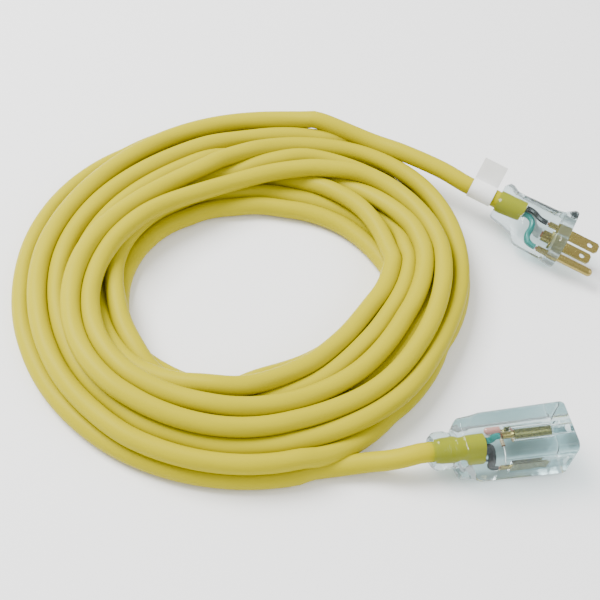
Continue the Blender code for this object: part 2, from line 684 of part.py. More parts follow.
def make_tag(finish, frame):
    """Blank film tag: a band round the cord whose ends meet in one flag."""
    inside = CORD_DIAMETER / 2 + 2 * GAP
    outside = inside + TAG_THICKNESS
    front = -TAG_DISTANCE
    rear = front - TAG_WIDTH
    profile = [(rear, inside), (rear, outside), (front, outside), (front, inside)]
    band = turned("cord_tag", profile, finish, segments=32)
    flag = box("flag", (rear, -TAG_THICKNESS, inside + TAG_THICKNESS / 2), (front, TAG_THICKNESS, outside + TAG_FLAG),
               finish)
    lean = math.radians(-39.0)
    flag.rotation_euler = (lean, 0.0, 0.0)
    combine(band, flag, "UNION")
    band.parent = frame


# ---------------------------------------------------------------- cord

def make_coil(finish):
    """One turned ring with round edges that takes the space of all the turns."""
    middle = (COIL_OUTER_RADIUS + COIL_INNER_RADIUS) / 2
    half_width = (COIL_OUTER_RADIUS - COIL_INNER_RADIUS) / 2
    half_height = COIL_HEIGHT / 2
    corner = CORD_DIAMETER
    profile = [(half_height + z, middle + y) for y, z in section(half_width, half_height, corner, steps=4)]
    turned("cord_coil", profile, finish, COIL_CENTRE, axis="Z", segments=72)


def make_leads(finish, frame):
    """The two free stretches of cord, each a plain tube from its moulding to the coil."""
    bpy.context.view_layer.update()
    start = frame.matrix_world @ Vector((-GAP, 0.0, 0.0))
    first = frame.matrix_world @ Vector((-LEAD_START, 0.0, 0.0))
    route = [first] + [Vector(point) * MM for point in PLUG_LEAD]
    tube("cord_plug_lead", route, CORD_DIAMETER, finish, LEAD_STEP, resolution=4, start=start)
    start = Vector((-CONNECTOR_LENGTH / 2 - GAP, 0.0, connector_axis_height()))
    first = start - Vector((LEAD_START, 0.0, 0.0))
    route = [first] + [Vector(point) * MM for point in CONNECTOR_LEAD]
    tube("cord_connector_lead", route, CORD_DIAMETER, finish, LEAD_STEP, resolution=4, start=start)


def main():
    clear_scene()
    finishes = make_finishes()
    make_connector(finishes)
    frame = make_plug(finishes)
    make_coil(finishes["jacket"])
    make_leads(finishes["jacket"], frame)


main()
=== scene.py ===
"""Outdoor extension cord: a coiled yellow cord with a plug and a lit connector in clear mouldings."""
import math

import bmesh
import bpy
import numpy as np
from mathutils import Matrix, Vector
from mathutils.geometry import tessellate_polygon


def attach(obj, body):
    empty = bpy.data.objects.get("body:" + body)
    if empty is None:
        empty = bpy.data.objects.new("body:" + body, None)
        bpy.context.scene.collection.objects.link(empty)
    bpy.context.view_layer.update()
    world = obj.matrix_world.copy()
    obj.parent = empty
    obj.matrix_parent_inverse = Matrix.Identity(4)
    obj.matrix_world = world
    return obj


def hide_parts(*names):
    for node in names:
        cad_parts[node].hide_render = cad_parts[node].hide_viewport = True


bl_info = {
    "name": "Extension cord",
    "version": (1, 0, 0),
    "blender": (4, 5, 0),
    "location": "View3D > Sidebar > Cord",
    "description": "A coiled extension cord with clear end mouldings",
    "category": "Add Mesh",
}

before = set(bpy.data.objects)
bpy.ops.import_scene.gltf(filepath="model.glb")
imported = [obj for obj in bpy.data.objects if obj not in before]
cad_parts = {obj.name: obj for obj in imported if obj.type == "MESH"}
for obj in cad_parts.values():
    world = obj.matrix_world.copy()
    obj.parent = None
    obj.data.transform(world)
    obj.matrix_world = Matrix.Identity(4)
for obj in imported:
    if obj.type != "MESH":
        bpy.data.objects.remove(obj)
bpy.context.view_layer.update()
MM = 0.001

# The camera in millimetres, its heading, downward tilt and roll in degrees, and its lens
EYE = (-231.85, -260.50, 493.63)
CAMERA_TURN = (-23.3, 51.0, 14.0)
CAMERA_LENS = 72.0
CAMERA_SENSOR = 36.0
# Soft lights: name, place, side in metres and watts. All of them face the middle of the cord.
LIGHTS = (("key", (-0.9, 0.7, 1.3), 0.9, 64.0), ("fill", (0.9, -0.5, 1.1), 1.0, 10.0))
LIT_SPOT = (-0.08, 0.1, 0.0)
FLOOR_DROP = 0.0001

# Where the plug lies: the middle of its rear, and its roll, pitch and yaw
PLUG_REAR = Vector((48.5, 151.5, 19.3)) * MM
PLUG_TURN = (12.0, 5.0, -36.4)
# How far the jacket reaches into each moulding, and the connector's length and height above the floor
PLUG_JACKET = 16.5
CONNECTOR_LENGTH = 69.0
CONNECTOR_JACKET = 26.5
CONNECTOR_AXIS = 14.0

# The three ways into the connector: the pitch of the blades, their line above the floor, the ground
# pin above that line, and (half width, half height) of each way at its mouth and in its room
BLADE_PITCH = 12.7
BLADE_LINE = 8.6
PIN_OFFSET = 11.9
NARROW_SLOT = (1.3, 3.6)
WIDE_SLOT = (1.3, 4.3)
SLOT_ROOM = (2.2, 3.8)
PIN_HOLE = 2.8
PIN_ROOM = 3.8
MOUTH_DEPTH = 25.1                     # where a mouth opens into its room, along X
ROOM_DEPTH = 4.6                       # where the room ends, along X

# The route of the cord in millimetres: the free stretch at the plug, the coil, the free stretch at
# the connector. Both free stretches repeat the points of the CAD tubes.
PLUG_LEAD = [(32.4, 163.3, 20.9), (20.5, 175.0, 21.5), (2.0, 190.5, 20.5), (-14.0, 202.0, 19.0),
             (-28.5, 211.5, 17.5)]
CONNECTOR_LEAD = [(-92.0, 2.6, 5.0), (-78.0, 2.8, 5.2), (-64.0, 1.8, 7.6), (-56.0, 0.2, 10.2),
                  (-48.0, -0.4, 12.4)]
ROUTE_STEP = 4.0
COIL_CENTRE = (-98.0, 118.0)
# The winding: for every turn from the plug's end on, where it is laid every 30 degrees round the
# coil as (distance from the middle, height, hold). Turns held at 1 keep their place in the heap and
# turns held at 0 fill in below them.
TURNS = [
    {60: (116, 15, 1), 90: (107, 14, 1), 120: (100, 14, 1), 150: (102, 14, 1), 180: (109, 14, 1),
     210: (115, 14, 1), 240: (117, 14, 1), 270: (112, 14, 1), 300: (105, 8, 1), 330: (106, 5, 0)},
    {0: (118, 5, 0), 30: (120, 5, 0), 60: (109, 9, 0), 90: (91, 14, 1), 120: (87, 14, 1), 150: (92, 14, 1),
     180: (100, 12, 0), 210: (107, 12, 0), 240: (112, 5, 0), 270: (105, 5, 0), 300: (97, 9, 0),
     330: (102, 14, 1)},
    {0: (115, 14, 1), 30: (121, 15, 1), 60: (101, 14, 1), 90: (78, 15, 1), 120: (70, 17, 1), 150: (77, 18, 1),
     180: (93, 19, 1), 210: (107, 22, 1), 240: (104, 17, 1), 270: (98, 17, 1), 300: (94, 18, 1),
     330: (93, 15, 1)},
    {0: (104, 14, 1), 30: (103, 15, 1), 60: (77, 16, 1), 90: (60, 15, 1), 120: (59, 16, 1), 150: (68, 18, 1),
     180: (83, 19, 1), 210: (98, 22, 1), 240: (93, 20, 1), 270: (84, 19, 1), 300: (80, 17, 1),
     330: (81, 17, 1)},
    {0: (93, 14, 1), 30: (91, 14, 1), 60: (84, 6, 0), 90: (82, 5, 0), 120: (81, 5, 0), 150: (85, 12, 0),
     180: (92, 12, 0), 210: (100, 13, 0), 240: (92, 12, 0), 270: (80, 12, 0), 300: (69, 15, 1),
     330: (73, 14, 1)},
    {0: (83, 14, 1), 30: (84, 6, 0), 60: (94, 5, 0), 90: (92, 5, 0), 120: (90, 5, 0), 150: (96, 5, 0),
     180: (98, 5, 0), 210: (102, 5, 0), 240: (96, 5, 0), 270: (86, 5, 0), 300: (84, 5, 0), 330: (89, 5, 0)},
    {0: (98, 5, 0), 30: (103, 6, 0), 60: (89, 13, 0), 90: (70, 12, 0), 120: (68, 10, 0), 150: (76, 5, 0),
     180: (84, 12, 0), 210: (93, 14, 0), 240: (83, 19, 1), 270: (71, 21, 1), 300: (61, 15, 1),
     330: (61, 15, 1)},
    {0: (74, 14, 1), 30: (79, 14, 1), 60: (76, 7, 0), 90: (72, 5, 0), 120: (74, 5, 0), 150: (86, 5, 0),
     180: (90, 5, 0), 210: (95, 5, 0), 240: (88, 12, 0), 270: (69, 13, 0), 300: (58, 6, 0), 330: (62, 5, 0)},
    {0: (76, 5, 0), 30: (67, 5, 1), 60: (56, 5, 1), 90: (52, 5, 1), 120: (54, 5, 1), 150: (61, 5, 1),
     180: (69, 5, 1), 210: (78, 5, 1), 240: (75, 5, 0), 270: (64, 5, 0), 300: (67, 5, 0), 330: (72, 5, 0)},
    {0: (86, 5, 0), 30: (77, 5, 0), 60: (65, 5, 1), 90: (61, 5, 1), 120: (63, 5, 1), 150: (69, 7, 1),
     180: (75, 13, 1), 210: (84, 13, 1), 240: (86, 5, 0), 270: (75, 5, 0), 300: (77, 5, 0), 330: (82, 5, 0)},
    {0: (88, 5, 0), 30: (94, 5, 0), 60: (102, 5, 0), 90: (102, 5, 0), 120: (100, 5, 0), 150: (105, 5, 0),
     180: (108, 5, 0), 210: (112, 5, 0), 240: (105, 5, 0), 270: (96, 5, 0), 300: (94, 5, 0), 330: (98, 5, 0)},
    {0: (108, 5, 0), 30: (114, 5, 0), 60: (118, 5, 0), 90: (113, 5, 0), 120: (110, 5, 1), 150: (114, 5, 1),
     180: (118, 5, 1), 210: (124, 5, 1), 240: (122, 5, 1), 270: (117, 5, 1)},
]
# The heap's inner and outer edge every 30 degrees
INNER_EDGE = [76, 67, 56, 52, 54, 61, 69, 78, 74, 61, 57, 62]
OUTER_EDGE = [118, 125, 117, 112, 109, 114, 119, 127, 122, 117, 104, 104]
# How far a turn in sight moves outward for each millimetre that it rises, to look the same from the
# front, every 30 degrees
LEAN = [-0.36, -0.94, -1.08, -0.93, -0.75, -0.46, -0.15, 0.36, 0.57, 0.53, 0.33, 0.0]
COMPASS = 30                           # degrees between the places where a turn is laid

# How the heap settles: points to a turn, rounds, sink of a point in the first round in millimetres,
# hold of a turn in sight and of one below, share of a push that each point takes, and smoothing
POINTS_TO_A_TURN = 72
ROUNDS = 500
SINK = 0.25
HOLD_SHOWN = 0.05
HOLD_HIDDEN = 0.002
PUSH = 0.35
SMOOTH_REACH = 0.05
SMOOTH_HEIGHT = 0.18
TURN_GAP = 0.1                         # between neighbouring turns


# ---------------------------------------------------------------- settings

class CordSizes(bpy.types.PropertyGroup):
    """Sizes that a user would change."""

    diameter: bpy.props.FloatProperty(
        name="Cord diameter", description="Outside diameter of the jacket", default=9.8 * MM, unit="LENGTH")
    lay: bpy.props.FloatProperty(
        name="Lay", description="Length in which the conductors turn once inside the jacket", default=0.11,
        unit="LENGTH")
    floor: bpy.props.FloatProperty(
        name="Floor", description="Side of the square floor", default=6.0, unit="LENGTH")


class CordColours(bpy.types.PropertyGroup):
    """Colours that a user would change."""

    jacket: bpy.props.FloatVectorProperty(
        name="Jacket", description="Colour of the cord's jacket", default=(0.43, 0.37, 0.0002),
        subtype="COLOR", size=3)
    clear: bpy.props.FloatVectorProperty(
        name="Clear moulding", description="Tint of the clear mouldings", default=(0.60, 0.70, 0.71),
        subtype="COLOR", size=3)
    brass: bpy.props.FloatVectorProperty(
        name="Brass", description="Colour of the blades and contacts", default=(0.36, 0.285, 0.09),
        subtype="COLOR", size=3)
    floor: bpy.props.FloatVectorProperty(
        name="Floor", description="Colour of the floor", default=(0.93, 0.93, 0.93), subtype="COLOR", size=3)


# ---------------------------------------------------------------- shader maths

class Wire:
    """A node socket that can be used in plain sums; each sum adds one Math node."""

    def __init__(self, graph, socket):
        self.graph = graph
        self.socket = socket

    def _math(self, operation, first, second):
        return self.graph.node("ShaderNodeMath", {"operation": operation}, {0: first, 1: second})

    def __add__(self, other):
        return self._math("ADD", self, other)

    def __radd__(self, other):
        return self._math("ADD", other, self)

    def __sub__(self, other):
        return self._math("SUBTRACT", self, other)

    def __rsub__(self, other):
        return self._math("SUBTRACT", other, self)

    def __mul__(self, other):
        return self._math("MULTIPLY", self, other)

    def __rmul__(self, other):
        return self._math("MULTIPLY", other, self)

    def __truediv__(self, other):
        return self._math("DIVIDE", self, other)

    def out(self, name):
        """Another output of the same node."""
        return Wire(self.graph, self.socket.node.outputs[name])


class Finish:
    """A node material with one Principled shader."""

    def __init__(self, name):
        self.material = bpy.data.materials.new(name)
        self.material.use_nodes = True
        self.tree = self.material.node_tree
        self.shader = self.tree.nodes["Principled BSDF"]
        self.coords = self.tree.nodes.new("ShaderNodeTexCoord")

    def node(self, kind, settings=None, inputs=None, output=0):
        """Add a node, set it up, then give its sockets their values or links."""
        made = self.tree.nodes.new(kind)
        for key, value in (settings or {}).items():
            setattr(made, key, value)
        for key, value in (inputs or {}).items():
            self.put(made.inputs[key], value)
        return Wire(self, made.outputs[output])

    def put(self, socket, value):
        """Link a wire to a socket, or set the socket's own value."""
        if isinstance(value, Wire):
            self.tree.links.new(value.socket, socket)
        else:
            socket.default_value = value

    def set(self, **values):
        """Set the shader's own sockets."""
        for key, value in values.items():
            self.put(self.shader.inputs[key.replace("_", " ")], value)
        return self

    def where(self, scale=(1.0, 1.0, 1.0), source="Object"):
        """Coordinates over the piece, scaled."""
        start = Wire(self, self.coords.outputs[source])
        return self.node("ShaderNodeMapping", None, {"Vector": start, "Scale": scale})

    def noise(self, place, scale, detail=3.0):
        """Noise between 0 and 1 at so many cells to the metre."""
        return self.node("ShaderNodeTexNoise", None, {"Vector": place, "Scale": scale, "Detail": detail})

    def mix(self, share, first, second):
        """A colour between two colours."""
        return self.node("ShaderNodeMix", {"data_type": "RGBA"},
                         {0: share, 6: (*first, 1.0), 7: (*second, 1.0)}, 2)

    def let_light_through(self, tint):
        """Let lamps and bounced light pass straight through, so that what is inside stays bright."""
        path = self.node("ShaderNodeLightPath", output="Is Shadow Ray")
        share = self.node("ShaderNodeMath", {"operation": "MAXIMUM"},
                          {0: path, 1: path.out("Is Diffuse Ray")})
        clear = self.node("ShaderNodeBsdfTransparent", None, {"Color": (*tint, 1.0)})
        both = self.node("ShaderNodeMixShader", None,
                         {0: share, 1: Wire(self, self.shader.outputs["BSDF"]), 2: clear})
        self.put(self.tree.nodes["Material Output"].inputs["Surface"], both)

    def bump(self, height, distance):
        """A bump of so many metres into the shader's normal."""
        normal = self.node("ShaderNodeBump", None, {"Height": height, "Distance": distance})
        return self.set(Normal=normal)


def scaled(colour, factor):
    """A colour made lighter or darker, as a plain tuple."""
    return tuple(min(1.0, channel * factor) for channel in colour)


def jacket_finish(colour, lay):
    """Satin vinyl: slow changes of tone, faint drawing lines along it and the lay of its conductors."""
    made = Finish("yellow_jacket")
    place = made.where(source="UV")
    slow = made.noise(place, 9.0, 2.0)
    fine = made.noise(made.where((60.0, 1.5, 1.0), source="UV"), 6.0, 3.0)
    tone = made.mix(slow * 0.5 + fine * 0.2, scaled(colour, 1.03), scaled(colour, 0.90))
    parts = made.node("ShaderNodeSeparateXYZ", None, {0: place})
    twist = made.node("ShaderNodeMath", {"operation": "SINE"},
                      {0: (parts * 3.0 + parts.out("Y") / lay * 3.0) * (2 * math.pi)})
    speck = made.noise(place, 900.0, 2.0)
    made.set(Base_Color=tone, Roughness=slow * 0.10 + fine * 0.08 + 0.36, Specular_IOR_Level=0.1)
    return made.bump(twist * 0.5 + fine * 0.25 + speck * 0.12, 0.00012).material


def clear_finish(name, colour, roughness, ior):
    """Clear soft vinyl: a solid that bends light, with a faintly rippled, handled surface."""
    made = Finish(name)
    place = made.where()
    ripple = made.noise(place, 120.0, 2.0)
    haze = made.noise(place, 420.0, 4.0)
    tone = made.mix(haze, scaled(colour, 1.03), scaled(colour, 0.96))
    made.set(Base_Color=tone, Transmission_Weight=0.985, IOR=ior, Roughness=haze * 0.08 + roughness)
    made.bump(ripple, 0.00012)
    made.let_light_through(scaled(colour, 1.05))
    return made.material


def metal_finish(name, colour, roughness, grain):
    """Rolled metal with grain along one way and slight tarnish."""
    made = Finish(name)
    lines = made.noise(made.where(grain), 400.0, 3.0)
    tarnish = made.noise(made.where(), 180.0, 4.0)
    tone = made.mix(tarnish, scaled(colour, 1.06), scaled(colour, 0.80))
    made.set(Base_Color=tone, Metallic=1.0, Roughness=lines * 0.14 + tarnish * 0.10 + roughness)
    return made.bump(lines, 0.00002).material


def strands_finish(name, colour):
    """Bare copper strands laid up in a rope: slanting grooves in painted shade between lighter crowns at the
    full copper colour.
    """
    made = Finish(name)
    place = made.where()
    waves = made.node("ShaderNodeTexWave", {"wave_type": "BANDS", "bands_direction": "DIAGONAL"},
                      {"Vector": place, "Scale": 420.0, "Distortion": 0.4}, 1)
    # Painted shade: the grooves between the wave bands are darkened to 0.45 of the copper colour, and the
    # crowns keep the full colour.
    tone = made.mix(waves, scaled(colour, 0.45), colour)
    made.set(Base_Color=tone, Metallic=1.0, Roughness=0.42 - waves * 0.15)
    return made.bump(waves, 0.00015).material


def wire_finish(name, colour):
    """Satin vinyl insulation with slight mottling."""
    made = Finish(name)
    place = made.where()
    mottle = made.noise(place, 500.0, 3.0)
    tone = made.mix(mottle, scaled(colour, 1.1), scaled(colour, 0.82))
    made.set(Base_Color=tone, Roughness=mottle * 0.15 + 0.3)
    return made.bump(mottle, 0.00003).material


def lamp_finish():
    """Neon lamp: pinkish glass that glows faintly, in a cloudy tone."""
    made = Finish("lamp_glass")
    place = made.where()
    cloud = made.noise(place, 500.0, 2.0)
    tone = made.mix(cloud, (0.62, 0.20, 0.17), (0.75, 0.38, 0.32))
    made.set(Base_Color=tone, Roughness=cloud * 0.06 + 0.05, Emission_Color=tone, Emission_Strength=0.25,
             Coat_Weight=0.6)
    return made.bump(cloud, 0.00003).material


def resistor_finish():
    """Tan lacquer with plain colour rings."""
    made = Finish("resistor_body")
    along = made.node("ShaderNodeSeparateXYZ", None, {0: made.where((1000.0, 1000.0, 1000.0))}, 1)
    rings = made.node("ShaderNodeMath", {"operation": "PINGPONG"}, {0: along + 10.0, 1: 0.6})
    mask = made.node("ShaderNodeMath", {"operation": "GREATER_THAN"}, {0: rings, 1: 0.42})
    grain = made.noise(made.where(), 900.0)
    tone = made.mix(mask, (0.66, 0.50, 0.30), (0.30, 0.12, 0.06))
    made.set(Base_Color=tone, Roughness=grain * 0.2 + 0.3)
    return made.bump(grain, 0.00003).material


def tag_finish():
    """Blank white film, slightly crinkled."""
    made = Finish("tag_film")
    place = made.where()
    crease = made.noise(place, 160.0, 3.0)
    tone = made.mix(crease, (0.90, 0.90, 0.88), (0.80, 0.80, 0.79))
    made.set(Base_Color=tone, Roughness=crease * 0.2 + 0.35)
    return made.bump(crease, 0.0004).material


def floor_finish(colour):
    """Plain pale floor with a trace of mottling."""
    made = Finish("floor_plain")
    cloud = made.noise(made.where(), 3.0)
    tone = made.mix(cloud, scaled(colour, 1.01), scaled(colour, 0.99))
    made.set(Base_Color=tone, Roughness=cloud * 0.1 + 0.6)
    return made.material


# ---------------------------------------------------------------- shapes

def spline(before, start, end, after, share):
    """A Catmull-Rom span between start and end: the cubic whose end slopes are half the chords beside it."""
    return 0.5 * (2 * start + (end - before) * share + (2 * before - 5 * start + 4 * end - after) * share ** 2
                  + (3 * start - before - 3 * end + after) * share ** 3)


def smooth_route(points, step):
    """Points so far apart on the Catmull-Rom curve through a route."""
    route = np.asarray(points, dtype=float)
    padded = np.vstack([2 * route[0] - route[1], route, 2 * route[-1] - route[-2]])
    share = np.linspace(0.0, 1.0, 33)[None, :-1, None]
    before, start, end, after = (padded[k:len(padded) - 3 + k, None, :] for k in range(4))
    dense = spline(before, start, end, after, share)
    dense = np.vstack([dense.reshape(-1, route.shape[1]), route[-1:]])
    spots = np.r_[0.0, np.cumsum(np.linalg.norm(np.diff(dense, axis=0), axis=1))]
    reads = np.linspace(0.0, spots[-1], max(2, int(round(spots[-1] / step)) + 1))
    return np.column_stack([np.interp(reads, spots, dense[:, axis]) for axis in range(route.shape[1])])


def solid(name, points, faces, finish, recalc=False):
    """Make a smooth-shaded mesh object at the origin that rides with the body."""
    mesh = bpy.data.meshes.new(name)
    mesh.from_pydata(points.tolist(), [], faces)
    if recalc:
        shape = bmesh.new()
        shape.from_mesh(mesh)
        bmesh.ops.remove_doubles(shape, verts=shape.verts, dist=1e-6)
        bmesh.ops.recalc_face_normals(shape, faces=shape.faces)
        shape.to_mesh(mesh)
        shape.free()
    mesh.shade_smooth()
    mesh.set_sharp_from_angle(angle=math.radians(40.0))
    mesh.materials.append(finish)
    item = bpy.data.objects.new(name, mesh)
    bpy.context.scene.collection.objects.link(item)
    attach(item, "root")
    return item


def grid_faces(rows, columns):
    """Quads between neighbouring rows of a grid whose columns close round."""
    row, column = np.meshgrid(np.arange(rows - 1), np.arange(columns), indexing="ij")
    after = (column + 1) % columns
    quads = np.stack([row * columns + column, row * columns + after, (row + 1) * columns + after,
                      (row + 1) * columns + column], axis=-1)
    return quads.reshape(-1, 4)


def tube(name, route, radius, finish, around=24):
    """Carry a circle along a route: point + radius * (cos a * side + sin a * up), square to the route.

    The side is the route's direction crossed with the vertical, so the section never twists. The UV
    map runs once round the section, and along the route in metres.
    """
    route = np.asarray(route)
    along = np.gradient(route, axis=0)
    along /= np.linalg.norm(along, axis=1, keepdims=True)
    side = np.cross(along, (0.0, 0.0, 1.0))
    side /= np.linalg.norm(side, axis=1, keepdims=True)
    up = np.cross(side, along)
    angle = 2 * np.pi * np.arange(around) / around
    ring = np.cos(angle)[None, :, None] * side[:, None] + np.sin(angle)[None, :, None] * up[:, None]
    points = (route[:, None] + radius * ring).reshape(-1, 3)
    rows = len(route)
    quads = grid_faces(rows, around)
    lengths = np.r_[0.0, np.cumsum(np.linalg.norm(np.diff(route, axis=0), axis=1))]
    turn = np.arange(around)
    u = np.stack([turn, turn + 1, turn + 1, turn], axis=-1) / around
    v = np.stack([lengths[:-1], lengths[:-1], lengths[1:], lengths[1:]], axis=-1)
    uv = np.stack(np.broadcast_arrays(u[None], v[:, None]), axis=-1).reshape(-1, 2)
    faces = quads[:, ::-1].tolist()
    uv = uv.reshape(-1, 4, 2)[:, ::-1].reshape(-1, 2)
    faces += [list(range(around)), list(range((rows - 1) * around, rows * around))[::-1]]
    uv = np.vstack([uv, np.zeros((2 * around, 2))])
    item = solid(name, points, faces, finish)
    layer = item.data.uv_layers.new(name="UVMap")
    layer.data.foreach_set("uv", uv.ravel())
    return item


def loft_rings(stations, spacing=0.5, soften=1.2, corner_steps=8, flat_steps=3):
    """Rings of rounded rectangles along X, in millimetres.

    Between stations (x, middle y, middle z, half width, half height, corner) all sizes run straight,
    and then a moving average as wide as `soften` rounds the breaks. A ring's points are the corner's
    centre plus the corner radius times (cos a, sin a), with the flats between them divided evenly.
    """
    table = np.asarray(stations, dtype=float)
    count = int(round((table[-1, 0] - table[0, 0]) / spacing)) + 1
    x = np.linspace(table[0, 0], table[-1, 0], count)
    sizes = np.column_stack([np.interp(x, table[:, 0], table[:, k]) for k in range(1, 6)])
    wide = max(1, int(round(soften / (x[1] - x[0]) / 2)))
    padded = np.vstack([np.repeat(sizes[:1], wide, axis=0), sizes, np.repeat(sizes[-1:], wide, axis=0)])
    window = np.ones(2 * wide + 1) / (2 * wide + 1)
    sizes = np.column_stack([np.convolve(padded[:, k], window, mode="valid") for k in range(5)])
    angle = np.arange(4)[:, None] * np.pi / 2 + np.linspace(0.0, np.pi / 2, corner_steps + 1)[None]
    side = np.array([[1, 1], [-1, 1], [-1, -1], [1, -1]])
    middle_y, middle_z, half_y, half_z, corner = (sizes[:, k, None, None] for k in range(5))
    corner = np.minimum(corner, np.minimum(half_y, half_z) - 0.05)
    y = middle_y + side[None, :, :1] * (half_y - corner) + corner * np.cos(angle)[None]
    z = middle_z + side[None, :, 1:] * (half_z - corner) + corner * np.sin(angle)[None]
    arcs = np.stack([y, z], axis=-1)
    share = (np.arange(1, flat_steps + 1) / (flat_steps + 1))[None, None, :, None]
    start = arcs[:, :, -1:, :]
    end = np.roll(arcs, -1, axis=1)[:, :, :1, :]
    loop = np.concatenate([arcs, start + (end - start) * share], axis=2).reshape(count, -1, 2)
    return np.dstack([np.broadcast_to(x[:, None], loop.shape[:2]), loop])


def capped(rings, end_cap=True, turns=3):
    """Close a stack of rings: each end shrinks to its middle in a few rings and a pole."""
    columns = rings.shape[1]
    share = np.linspace(1.0, 0.12, turns + 1)[1:, None, None]
    front, back = (ring.mean(axis=1, keepdims=True) + (ring - ring.mean(axis=1, keepdims=True)) * share
                   for ring in (rings[:1], rings[-1:]))
    stack = np.vstack([front[::-1], rings, back] if end_cap else [front[::-1], rings])
    faces = grid_faces(len(stack), columns).tolist()
    points = stack.reshape(-1, 3)
    poles = []
    turn = np.arange(columns)
    after = (turn + 1) % columns
    for row, flip in ((0, False), (len(stack) - 1, True))[:2 if end_cap else 1]:
        pole = len(points) + len(poles)
        poles.append(stack[row].mean(axis=0))
        fan = np.column_stack([row * columns + after, row * columns + turn, np.full(columns, pole)])
        faces += (fan[:, ::-1] if flip else fan).tolist()
    return np.vstack([points, poles]), faces


def placed(points, matrix):
    """Move an array of points by a matrix."""
    matrix = np.array(matrix)
    return points @ matrix[:3, :3].T + matrix[:3, 3]


def plug_matrix():
    """The plug's place: +X along its pins, -Y towards its ground pin."""
    roll, pitch, yaw = (math.radians(turn) for turn in PLUG_TURN)
    turn = Matrix.Rotation(yaw, 4, "Z") @ Matrix.Rotation(pitch, 4, "Y") @ Matrix.Rotation(roll, 4, "X")
    return Matrix.Translation(PLUG_REAR) @ turn


def round_heap(values, angle):
    """Read what is given at every place of the compass at other angles."""
    return np.interp(angle % 360, np.arange(0, 361, COMPASS), values + values[:1])


def settle(diameter):
    """Lay the turns down: each point falls, keeps off its neighbours and stays near where it was laid.

    The whole winding is one row of points, every 5 degrees. In each round every point sinks a little,
    turns on show are drawn back to their place, the row is smoothed, and points of the same direction
    that are nearer than a cord's diameter push each other apart.
    """
    laid = [(360 * turn + angle, *spot) for turn, row in enumerate(TURNS)
            for angle, spot in sorted(row.items())]
    knots = np.array(laid, dtype=float)
    steps = POINTS_TO_A_TURN
    angle = np.arange(knots[0, 0], knots[-1, 0] + 1e-6, 360 / steps)
    span = np.clip(((angle - knots[0, 0]) / COMPASS).astype(int), 0, len(knots) - 2)
    share = (angle - knots[span, 0]) / COMPASS
    padded = np.vstack([2 * knots[0] - knots[1], knots, 2 * knots[-1] - knots[-2]])[:, 1:3]
    start = spline(*(padded[span + k] for k in range(4)), share[:, None])
    reach, height = start[:, 0].copy(), np.maximum(start[:, 1], diameter / 2)
    home, level = reach.copy(), height.copy()
    shown = np.interp(angle, knots[:, 0], knots[:, 3]) > 0.5
    hold = np.where(shown, HOLD_SHOWN, HOLD_HIDDEN)
    lean = np.where(shown, round_heap(LEAN, angle), 0.0)
    inner = round_heap(INNER_EDGE, angle)
    outer = round_heap(OUTER_EDGE, angle)
    place = np.round(angle / (360 / steps)).astype(int)
    turns = place[-1] // steps + 1
    same = np.eye(turns, dtype=bool)[:, :, None]

    def table(values):
        """The row of points as turns by directions, empty where there is no turn."""
        full = np.full(turns * steps, np.nan)
        full[place] = values
        return full.reshape(turns, steps)

    for number in range(ROUNDS):
        height -= SINK * (1 - 0.8 * number / ROUNDS)
        reach += hold * (home + lean * (height - level) - reach)
        for _ in range(3):
            reach[1:-1] += SMOOTH_REACH * (reach[:-2] + reach[2:] - 2 * reach[1:-1])
            height[1:-1] += SMOOTH_HEIGHT * (height[:-2] + height[2:] - 2 * height[1:-1])
        for _ in range(4):
            radial, upright = table(reach), table(height)
            across = radial[:, None] - radial[None]
            above = upright[:, None] - upright[None]
            apart = np.hypot(across, above) + 1e-9
            press = np.where(np.isfinite(apart) & ~same, np.clip(diameter - apart, 0, None), 0.0)
            reach += PUSH * np.nansum(press * across / apart, axis=1).ravel()[place]
            height += PUSH * np.nansum(press * above / apart, axis=1).ravel()[place]
            height = np.maximum(height, diameter / 2)
            reach = np.clip(reach, inner, outer)
    turn = np.radians(angle)
    return np.column_stack([COIL_CENTRE[0] + reach * np.cos(turn), COIL_CENTRE[1] + reach * np.sin(turn),
                            height])


def cord_route(diameter):
    """The whole centreline in metres, from inside the connector, round the coil, to inside the plug."""
    coil = settle(diameter / MM + TURN_GAP)
    rear = -CONNECTOR_LENGTH / 2
    inside = [(rear + CONNECTOR_JACKET - 0.5, 0, CONNECTOR_AXIS), (rear + 13, 0, CONNECTOR_AXIS),
              (rear, 0, CONNECTOR_AXIS), (rear - 5.3, 0, CONNECTOR_AXIS)]
    place = plug_matrix()
    plug_side = [tuple(place @ Vector((x * MM, 0, 0)) / MM) for x in (-5.0, 0.0, 8.0, PLUG_JACKET - 0.3)]
    route = inside + CONNECTOR_LEAD[::-1] + coil[::-1].tolist() + PLUG_LEAD[::-1][1:] + plug_side
    return smooth_route(route, ROUTE_STEP) * MM


# Sections of the mouldings, in millimetres. Connector: x, middle y and z, half width, half height and
# corner. Plug: x, how far it reaches away from its ground pin and towards it, half height and corner.
CONNECTOR_STATIONS = [
    (-34.5, 0, 14, 7.4, 7.4, 7.3), (-33.3, 0, 14, 8.9, 8.9, 8.8), (-31.5, 0, 14, 9.3, 9.3, 9.2),
    (-28.0, 0, 14, 9.3, 9.3, 9.2), (-26.3, 0, 14, 8.7, 8.7, 8.6), (-25.1, 0, 14, 8.3, 8.3, 8.2),
    (-23.3, 0, 14, 8.4, 8.4, 8.3), (-22.1, 0, 14, 10.8, 10.8, 6.5), (-20.9, 0, 14, 12.0, 12.0, 5.0),
    (-13.5, 0, 14, 12.5, 12.5, 4.4), (-9.5, 0, 13.3, 13.3, 13.3, 4.2), (32.1, 0, 14, 14.0, 14.0, 4.2),
    (33.7, 0, 14, 14.0, 14.0, 4.2), (34.5, 0, 14, 13.4, 13.4, 3.6)]
